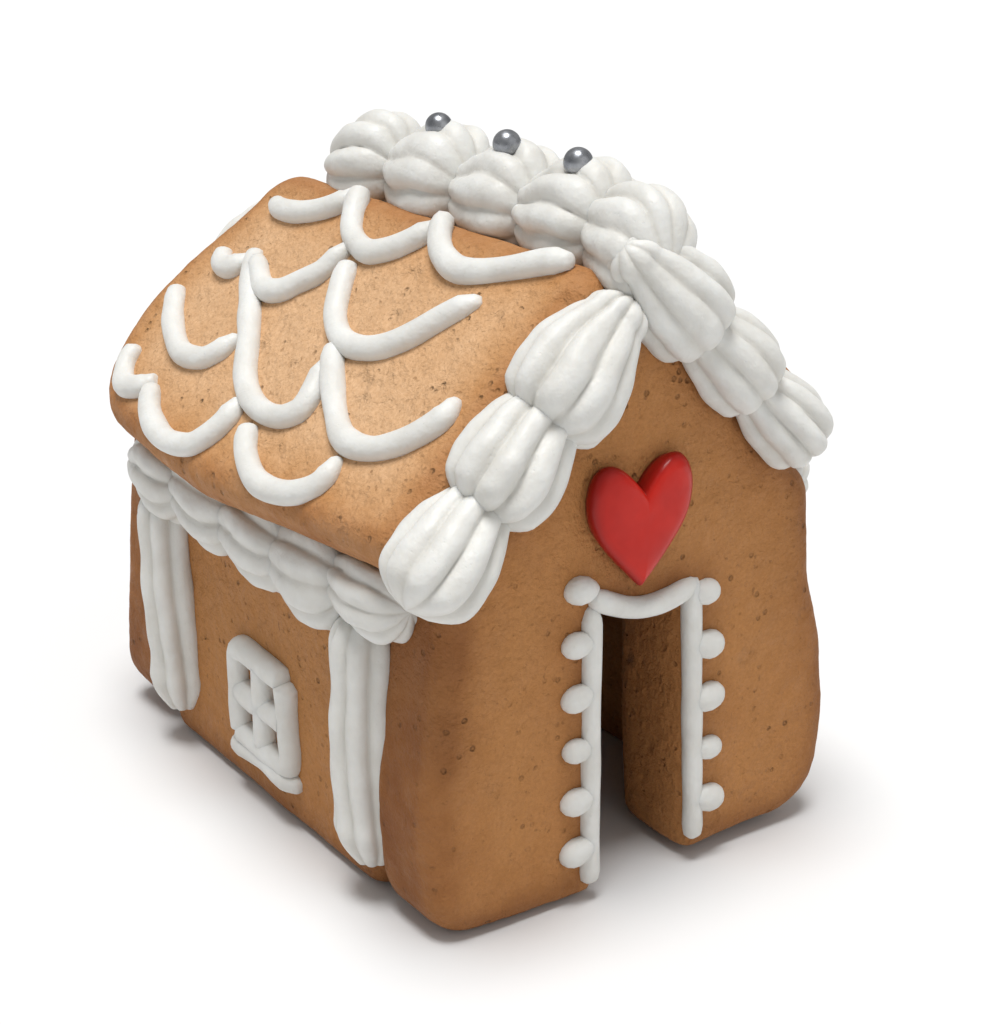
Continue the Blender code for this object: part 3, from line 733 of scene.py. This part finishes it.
def roof_outline(side):
    """The panel is longer at the eave than at the ridge, with a bowed back edge and a short front corner."""
    low = ROOF_LOW[side]
    back = ROOF_BACK_LOW[side]
    inset, bow, widest = ROOF_BACK_BOW[side]
    cut_u, cut_v = ROOF_BACK_CUT[side]
    return rounded([
        (ROOF_FRONT, 0.8 * MM, 3 * MM, 1.0),
        (ROOF_BACK_TOP, 0.8 * MM, 5 * MM, 1.0),
        (ROOF_BACK_TOP + 1.2 * MM, 0.2 * low, 8 * MM, 1.0),
        (back - inset, bow * low, 10 * MM, 1.0),
        (back, widest * low, 10 * MM, 1.0),
        (back - cut_u, low - cut_v, ROOF_BACK_RADIUS[side], 1.0),
        (2 * MM, low + 0.6 * MM, 30 * MM, 1.0),
        (ROOF_FRONT, low - 2.2 * MM, 3 * MM, 1.0),
    ])


for index, end in enumerate(("front", "back")):
    piece = cookie(
        f"{end}_cookie", gable_outline(end), GABLE_THICK, GABLE_RIM, GABLE_PLACE[end], WALL_COOKIE,
        seed=index, heel=GABLE_HEEL,
    )
    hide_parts(f"{end}_gable")
for index, side in enumerate(SIDES):
    piece = cookie(
        f"{side}_side_cookie", side_outline(side), SIDE_THICK, SIDE_RIM, WALL_PLACE[side], WALL_COOKIE,
        seed=3 + index,
    )
    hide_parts(f"{side}_wall")
    piece = cookie(
        f"{side}_roof_cookie", roof_outline(side), ROOF_THICK, ROOF_RIM, ROOF_PLACE[side], ROOF_COOKIE,
        seed=6 + index,
    )
    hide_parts(f"{side}_roof")


# Piped roof tiles: each stroke as (u, v) points on the left panel, in millimetres, read off the house.
ROOF_STROKES = (
    ((-3.3, 25.7), (-6.0, 28.1), (-10.1, 29.6), (-14.6, 29.0), (-17.5, 27.0), (-17.4, 24.4)),
    ((-6.5, 16.0), (-9.8, 18.8), (-13.4, 21.4), (-16.8, 22.9),
     (-20.3, 22.6), (-23.6, 20.7), (-25.8, 18.0), (-25.6, 15.8)),
    ((14.6, 10.6), (10.7, 14.4), (5.4, 18.8), (1.6, 22.2), (-1.6, 23.7),
     (-5.2, 24.0), (-7.8, 23.2), (-8.8, 21.5), (-7.2, 17.5)),
    ((-0.2, 8.4), (-2.1, 11.1), (-4.4, 13.8), (-7.8, 15.3),
     (-11.5, 14.9), (-14.5, 13.2), (-18.0, 9.6), (-20.2, 7.3)),
    ((-8.8, 0.9), (-8.8, 2.2), (-11.1, 4.4), (-14.6, 5.5),
     (-18.0, 5.1), (-21.4, 3.8), (-24.5, 2.4), (-27.0, 1.6)),
    ((5.9, 1.2), (4.7, 3.0), (2.3, 5.6), (-1.4, 6.8), (-4.1, 6.1), (-6.4, 4.5), (-8.2, 2.4)),
    ((14.8, 26.8), (11.4, 29.3), (6.9, 30.4), (2.9, 29.9), (1.2, 28.5), (0.2, 26.3), (0.4, 23.8)),
    ((22.6, 17.1), (19.1, 20.2), (14.3, 22.5), (10.4, 22.3), (8.4, 20.8), (7.4, 18.8)),
    ((13.6, 11.3), (9.4, 13.5), (6.3, 13.3), (4.3, 11.8), (2.5, 10.2), (1.9, 8.5), (1.4, 6.9)),
    ((17.4, 5.2), (15.6, 5.7), (12.1, 5.4), (8.8, 4.2), (6.7, 2.8), (6.2, 1.3)),
    ((23.6, 25.4), (21.4, 28.4), (18.6, 29.4), (15.6, 28.0), (14.9, 26.0)),
    ((19.6, 11.6), (18.2, 13.0), (16.0, 13.0), (14.4, 11.4)),
)
# The stroke in the back corner, and its place on the left panel, whose corner is rounder.
CORNER_STROKE = 10
LEFT_CORNER_STROKE = ((22.0, 24.0), (21.2, 26.2), (19.0, 27.9), (16.2, 27.3), (14.9, 26.0))
ROOF_LINE = 1.12 * MM


def roof_piping(side):
    """All the strokes on one roof panel."""
    piping = Piping()
    squeeze = ROOF_LOW[side] / ROOF_LOW["left"]
    rng = random.Random(3)
    for number, points in enumerate(ROOF_STROKES):
        if side == "left" and number == CORNER_STROKE:
            points = LEFT_CORNER_STROKE
        drift = 0 if side == "left" else rng.uniform(-0.5, 0.5)
        path = [((u + drift) * MM, v * squeeze * MM, 0) for u, v in points]
        stroke(piping, ROOF_PLACE[side], path, ROOF_LINE, seed=number + (40 if side == "right" else 0))
    return piping.build(f"{side}_roof_piping")


for side in SIDES:
    roof_piping(side)


# Door borders

def door_edge(side, z):
    """Where the slot's edge is at a height, for the side -1 or 1 seen from outside the gable."""
    return DOOR_EDGE_FOOT[side] + (DOOR_EDGE_TOP[side] - DOOR_EDGE_FOOT[side]) * z / DOOR_TOP


# Rows of beads beside the door: height of the first, pitch, how many.
BEADS = {-1: (5.2, 4.9, 6), 1: (6.0, 5.1, 5)}
BEAD_SIZE = (1.25 * MM, 1.5 * MM, 1.05 * MM)
DOOR_LINE = 0.92 * MM
SWAG_LINE = 0.95 * MM


def door_piping(end):
    """The line round the slot, its swag over the lintel, and the row of beads outside it."""
    place = GABLE_PLACE[end]
    piping = Piping()
    bead_width, bead_length, bead_height = BEAD_SIZE
    for side in (-1, 1):
        foot = (LEG_LIFT[end] if side > 0 else 0.0) + 1.5 * MM
        path = []
        for k in range(8):
            z = foot + (DOOR_TOP + 1.3 * MM - foot) * k / 7
            path.append((door_edge(side, z) + side * 0.9 * MM, z, -0.1 * MM))
        stroke(piping, place, path, DOOR_LINE, seed=side + 9, sink=0.1)
        first, pitch, many = BEADS[side]
        for k in range(many):
            z = (first + k * pitch) * MM
            last = k == many - 1
            spot = (door_edge(side, z) + side * (2.3 if last else 2.6) * MM, z, 0.25 * MM)
            size = 0.92 if last else 1.0
            girth = (bead_width * size, bead_length * size, bead_height)
            drop(piping, place, spot, girth, lean=side * (-1.75 + 0.15 * (k % 3)), seed=k + side * 20)
    swag = []
    left = DOOR_EDGE_TOP[-1] - 1.2 * MM
    right = DOOR_EDGE_TOP[1] + 1.2 * MM
    for k in range(9):
        share = k / 8
        v = DOOR_TOP + (2.2 - 1.2 * share - 1.6 * math.sin(math.pi * share)) * MM
        swag.append((left + (right - left) * share, v, 0))
    stroke(piping, place, swag, SWAG_LINE, seed=4)
    return piping.build(f"{end}_door_piping")


for end in ("front", "back"):
    door_piping(end)


# Windows

WINDOW_CENTRE = (0.6 * MM, 10.6 * MM)
WINDOW_HALF = (4.6 * MM, 4.3 * MM)
WINDOW_LINE = 1.25 * MM


def window_piping(side):
    """A framed window of four panes, and its sill."""
    place = WALL_PLACE[side]
    piping = Piping()
    cu = WINDOW_CENTRE[0] * -SIDES[side]
    cv = WINDOW_CENTRE[1]
    hu, hv = WINDOW_HALF
    left, right = cu - hu, cu + hu
    low, high = cv - hv, cv + hv
    bars = (
        [(left, low, 0), (cu - hu * 1.03, cv, 0), (left, high, 0), (cu, cv + hv * 1.05, 0), (right, high, 0)],
        [(right, high, 0), (cu + hu * 1.02, cv, 0), (right, low, 0), (cu, cv - hv * 1.02, 0), (left, low, 0)],
        [(left, cv + 0.2 * MM, 0), (cu, cv, 0), (right, cv + 0.1 * MM, 0)],
        [(cu, low, 0), (cu + 0.1 * MM, cv, 0), (cu, high, 0)],
    )
    for number, points in enumerate(bars):
        stroke(piping, place, points, WINDOW_LINE, seed=number + 3, taper=(1.0, 1.0))
    sill = [
        (cu - hu * 1.35, low - 1.8 * MM, 0),
        (cu, low - 1.1 * MM, 0),
        (cu + hu * 1.35, low - 1.6 * MM, 0),
    ]
    stroke(piping, place, sill, WINDOW_LINE, seed=len(bars) + 3)
    return piping.build(f"{side}_window_piping")


for side in SIDES:
    window_piping(side)


# Thick icing

# Each run of shells on a gable, in millimetres: how far down the slope from the apex the middles lie,
# lowest first, how far above the slope line they lie, and the shells' length, width and height.
SLOPE_RUNS = {
    ("front", "left"): ((26.0, 17.0, 8.6), 2.0, 13.0, 9.0, 4.6),
    ("front", "right"): ((17.7, 9.1, 0.9), 1.1, 12.4, 7.6, 4.0),
    ("back", "left"): ((23.8, 15.2, 6.6), -2.0, 13.4, 7.6, 3.2),
    ("back", "right"): ((24.0, 15.4, 6.9), -2.0, 13.4, 7.6, 3.2),
}
TOP_TAIL = {"front": 0.56, "back": 0.40}  # how thick the topmost shell of a slope ends
BACK_TOP_SHORTER = 1.1  # millimetres off the topmost shells at the back, so that they meet and don't cross


def slope_icing(end, side):
    """Three shells up one slope of a gable, heads down, each lying on the tail of the one below."""
    piping = Piping()
    place = GABLE_PLACE[end]
    turned = place.to_3x3()
    local_side = SIDES[side] * (1 if end == "front" else -1)
    up = Vector((-local_side, 1, 0)).normalized()
    above = Vector((local_side, 1, 0)).normalized()
    reaches, rise, length, width, height = SLOPE_RUNS[end, side]
    for k, reach in enumerate(reaches):
        middle = Vector((0, APEX_Z, 0)) - up * reach * MM + above * rise * MM
        middle.z = 0.4 * MM
        tail = TOP_TAIL[end] if k == 2 else 0.0
        run = length - (BACK_TOP_SHORTER if end == "back" and k == 2 else 0.0)
        seed = k + 11 * SIDES[side] + (50 if end == "back" else 0)
        shell(
            piping, place @ middle, turned @ up, turned @ Vector((0, 0, 1)),
            run * MM, (width + 0.7 * k) * MM, height * MM, seed=seed, twist=0.25 * local_side, tail=tail,
        )
    piece = piping.build(f"{end}_{side}_shells")
    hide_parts(f"{end}_{side}_slope_icing")


for end in ("front", "back"):
    for side in SIDES:
        slope_icing(end, side)


# Each shell on the ridge is (middle along Y, middle height, length, width, tilt), in millimetres.
RIDGE_SHELLS = (
    (-28.0, 56.8, 11.0, 9.2, 0.22),
    (-19.9, 57.6, 13.6, 10.2, 0.0),
    (-9.7, 57.4, 13.6, 9.8, 0.0),
    (0.8, 57.6, 13.6, 10.2, 0.0),
    (11.4, 57.1, 13.4, 9.6, -0.06),
)
RIDGE_HEIGHT = 5.6 * MM
PEARL_X = -0.9 * MM
PEARL_Y = (-21.8 * MM, -11.6 * MM, -0.9 * MM)
PEARL_Z = 62.9 * MM
PEARL_RADIUS = 1.25 * MM


def ridge_icing():
    """A row of shells in the groove between the roof panels, heads to the front."""
    piping = Piping()
    for number, (y, z, length, width, tilt) in enumerate(RIDGE_SHELLS):
        base = SHIFT + Vector((0, y * MM, z * MM))
        shell(
            piping, base, (0, 1, tilt), (0, 0, 1), length * MM, width * MM, RIDGE_HEIGHT,
            seed=number, flutes=10, depth=0.16,
        )
    ridge_piece = piping.build("ridge_shells")
    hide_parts("ridge_icing")


def silver_pearls():
    """Three pearls, each half sunk near the top of its shell."""
    points = []
    faces = []
    for y in PEARL_Y:
        bm = bmesh.new()
        centre = SHIFT + Vector((PEARL_X, y, PEARL_Z))
        bmesh.ops.create_icosphere(bm, subdivisions=4, radius=PEARL_RADIUS, matrix=Matrix.Translation(centre))
        start = len(points)
        points += [v.co.copy() for v in bm.verts]
        bm.verts.index_update()
        faces += [tuple(start + v.index for v in f.verts) for f in bm.faces]
        bm.free()
    mesh_object("silver_pearls", points, faces, PEARL)


ridge_icing()
silver_pearls()


# The row of shells under each eave, in millimetres. The first, by the front gable, is narrower and higher.
EAVE_Z = {"left": 28.0, "right": 30.4}
EAVE_FIRST_Y = -20.8
EAVE_PITCH = 9.8
EAVE_COUNT = 5
EAVE_WIDTH = 9.4
EAVE_FIRST_LIFT = 0.9
EAVE_FIRST_NARROW = 2.0
EAVE_END_LENGTH = 13.2
EAVE_LENGTH = 15.4
EAVE_HEIGHT = 3.5


def eave_icing(side):
    """A row of shells on the side wall under the roof."""
    sign = SIDES[side]
    piping = Piping()
    rng = random.Random(21 + sign)
    for k in range(EAVE_COUNT):
        y = EAVE_FIRST_Y + k * EAVE_PITCH
        z = EAVE_Z[side] + rng.uniform(-0.4, 0.4)
        width = EAVE_WIDTH + rng.uniform(-0.4, 0.4)
        if k == 0:
            z += EAVE_FIRST_LIFT
            width -= EAVE_FIRST_NARROW
        base = SHIFT + Vector((sign * (SIDE_X + 0.3 * MM), y * MM, z * MM))
        length = EAVE_END_LENGTH if k in (0, EAVE_COUNT - 1) else EAVE_LENGTH
        shell(
            piping, base, (0, 1, -0.06), (sign, 0, 0), length * MM, width * MM, EAVE_HEIGHT * MM,
            seed=30 + k + sign * 9,
        )
    piece = piping.build(f"{side}_eave_shells")
    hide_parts(f"{side}_eave_icing")


CORNER_Y = {"front": -19.2, "back": 18.0}
CORNER_FOOT_Z = 3.2
CORNER_TOP_Z = 26.7
CORNER_HALF_WIDTH = 3.5
CORNER_HEIGHT = 3.4


def corner_icing(end, side):
    """An upright rope that hides the seam between a side wall and a gable."""
    sign = SIDES[side]
    away = -1 if end == "front" else 1
    piping = Piping()
    x = sign * (SIDE_X + 0.2 * MM)
    y = CORNER_Y[end]
    foot = SHIFT + Vector((x, (y - 0.6) * MM, CORNER_FOOT_Z * MM))
    head = SHIFT + Vector((x, y * MM, CORNER_TOP_Z * MM))
    rope(
        piping, foot, head, (sign, 0, 0), CORNER_HALF_WIDTH * MM, CORNER_HEIGHT * MM,
        bend=0.25 * MM * away, seed=sign + away * 3,
    )
    piece = piping.build(f"{end}_{side}_corner_rope")
    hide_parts(f"{end}_{side}_corner_icing")


for side in SIDES:
    eave_icing(side)
    for end in ("front", "back"):
        corner_icing(end, side)


# Heart

HEART_CENTRE = Vector((-1.5 * MM, 34.7 * MM, 0.0))
HEART_WIDTH = 10.6 * MM
HEART_HEIGHT = 11.2 * MM
# The heart's domed section: share of the outline, then share of its thickness.
HEART_PROFILE = (
    (0.93, -0.15), (0.97, 0.12), (1.0, 0.35), (0.985, 0.52), (0.95, 0.68), (0.89, 0.80),
    (0.80, 0.89), (0.68, 0.95), (0.52, 0.99), (0.34, 1.0), (0.16, 0.99), (0.03, 0.98),
)


def heart():
    """A plump, domed heart above the door."""
    count = 96
    outline = []
    for k in range(count):
        t = 2 * math.pi * k / count
        u = math.copysign(abs(math.sin(t)) ** 1.9, math.sin(t)) / 2 * HEART_WIDTH
        rise = 13 * math.cos(t) - 5 * math.cos(2 * t) - 2 * math.cos(3 * t) - math.cos(4 * t) + 2.5
        outline.append(Vector((u, rise / 29 * HEART_HEIGHT, 0)))
    rings = []
    rims = []
    for share, lift in HEART_PROFILE:
        ring = []
        for p in outline:
            q = HEART_CENTRE + p * share
            q.z = (0.3 + 1.9 * lift) * MM + 0.10 * MM * noise.noise(q * 300)
            ring.append(GABLE_PLACE["front"] @ q)
            rims.append(max(0.0, (share - 0.86) / 0.14) if lift > 0.1 else 1.0)
        rings.append(ring)
    points, faces = rings_mesh(rings)
    piece = mesh_object("red_heart", points, faces, RED)
    bm = bmesh.new()
    bm.from_mesh(piece.data)
    bmesh.ops.recalc_face_normals(bm, faces=bm.faces)
    bm.to_mesh(piece.data)
    bm.free()
    layer = piece.data.attributes.new("rim", "FLOAT", "POINT")
    layer.data.foreach_set("value", np.array(rims + [1.0, 0.0], np.float32))
    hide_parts("heart")


heart()


# Stage, light and camera

FLOOR_HALF = 3.0
FLOOR_Z = -0.0001


def floor():
    """A plain pale surface just under the house."""
    mesh = bpy.data.meshes.new("floor")
    corners = [(x * FLOOR_HALF, y * FLOOR_HALF, FLOOR_Z) for x, y in ((-1, -1), (1, -1), (1, 1), (-1, 1))]
    mesh.from_pydata(corners, [], [(0, 1, 2, 3)])
    made = bpy.data.objects.new("floor", mesh)
    bpy.context.scene.collection.objects.link(made)
    material, _, shader = nodes_of("pale_floor")
    shader.inputs["Base Color"].default_value = (0.73, 0.73, 0.73, 1)
    shader.inputs["Roughness"].default_value = 0.9
    shader.inputs["Specular IOR Level"].default_value = 0.1
    mesh.materials.append(material)


floor()


def soft_sun(name, towards, strength, spread):
    """A broad light that comes from a direction."""
    data = bpy.data.lights.new(name, "SUN")
    data.angle = math.radians(spread)
    data.energy = strength
    made = bpy.data.objects.new(name, data)
    made.rotation_euler = (-Vector(towards)).to_track_quat("-Z", "Y").to_euler()
    bpy.context.scene.collection.objects.link(made)


soft_sun("key", (-0.12, -0.08, 0.98), 3.2, 26)
soft_sun("fill", (0.25, -0.9, 0.35), 0.34, 60)

world = bpy.data.worlds.new("studio")
bpy.context.scene.world = world
world.use_nodes = True
world.node_tree.nodes["Background"].inputs["Color"].default_value = (1.0, 0.995, 0.985, 1)
world.node_tree.nodes["Background"].inputs["Strength"].default_value = 0.40
bpy.context.scene.view_settings.view_transform = "Standard"


# The view, matched to the photograph: focal length and taller side in its pixels, and where the camera
# stands and looks, in millimetres from the door's middle plane.
FOCAL_PX = 2000
PHOTO_PX = 1024
SENSOR = 36.0
CAMERA_PLACE = Vector((-98.6, -152.2, 93.3))
CAMERA_AIM = Vector((5.1, -0.8, 24.7))

camera_data = bpy.data.cameras.new("camera")
camera_data.sensor_width = SENSOR
camera_data.lens = FOCAL_PX / PHOTO_PX * SENSOR
camera_data.clip_start = 0.005
camera = bpy.data.objects.new("camera", camera_data)
camera.location = SHIFT + CAMERA_PLACE * MM
camera_aim = SHIFT + CAMERA_AIM * MM
camera.rotation_euler = (camera_aim - camera.location).to_track_quat("-Z", "Y").to_euler()
bpy.context.scene.collection.objects.link(camera)
bpy.context.scene.camera = camera
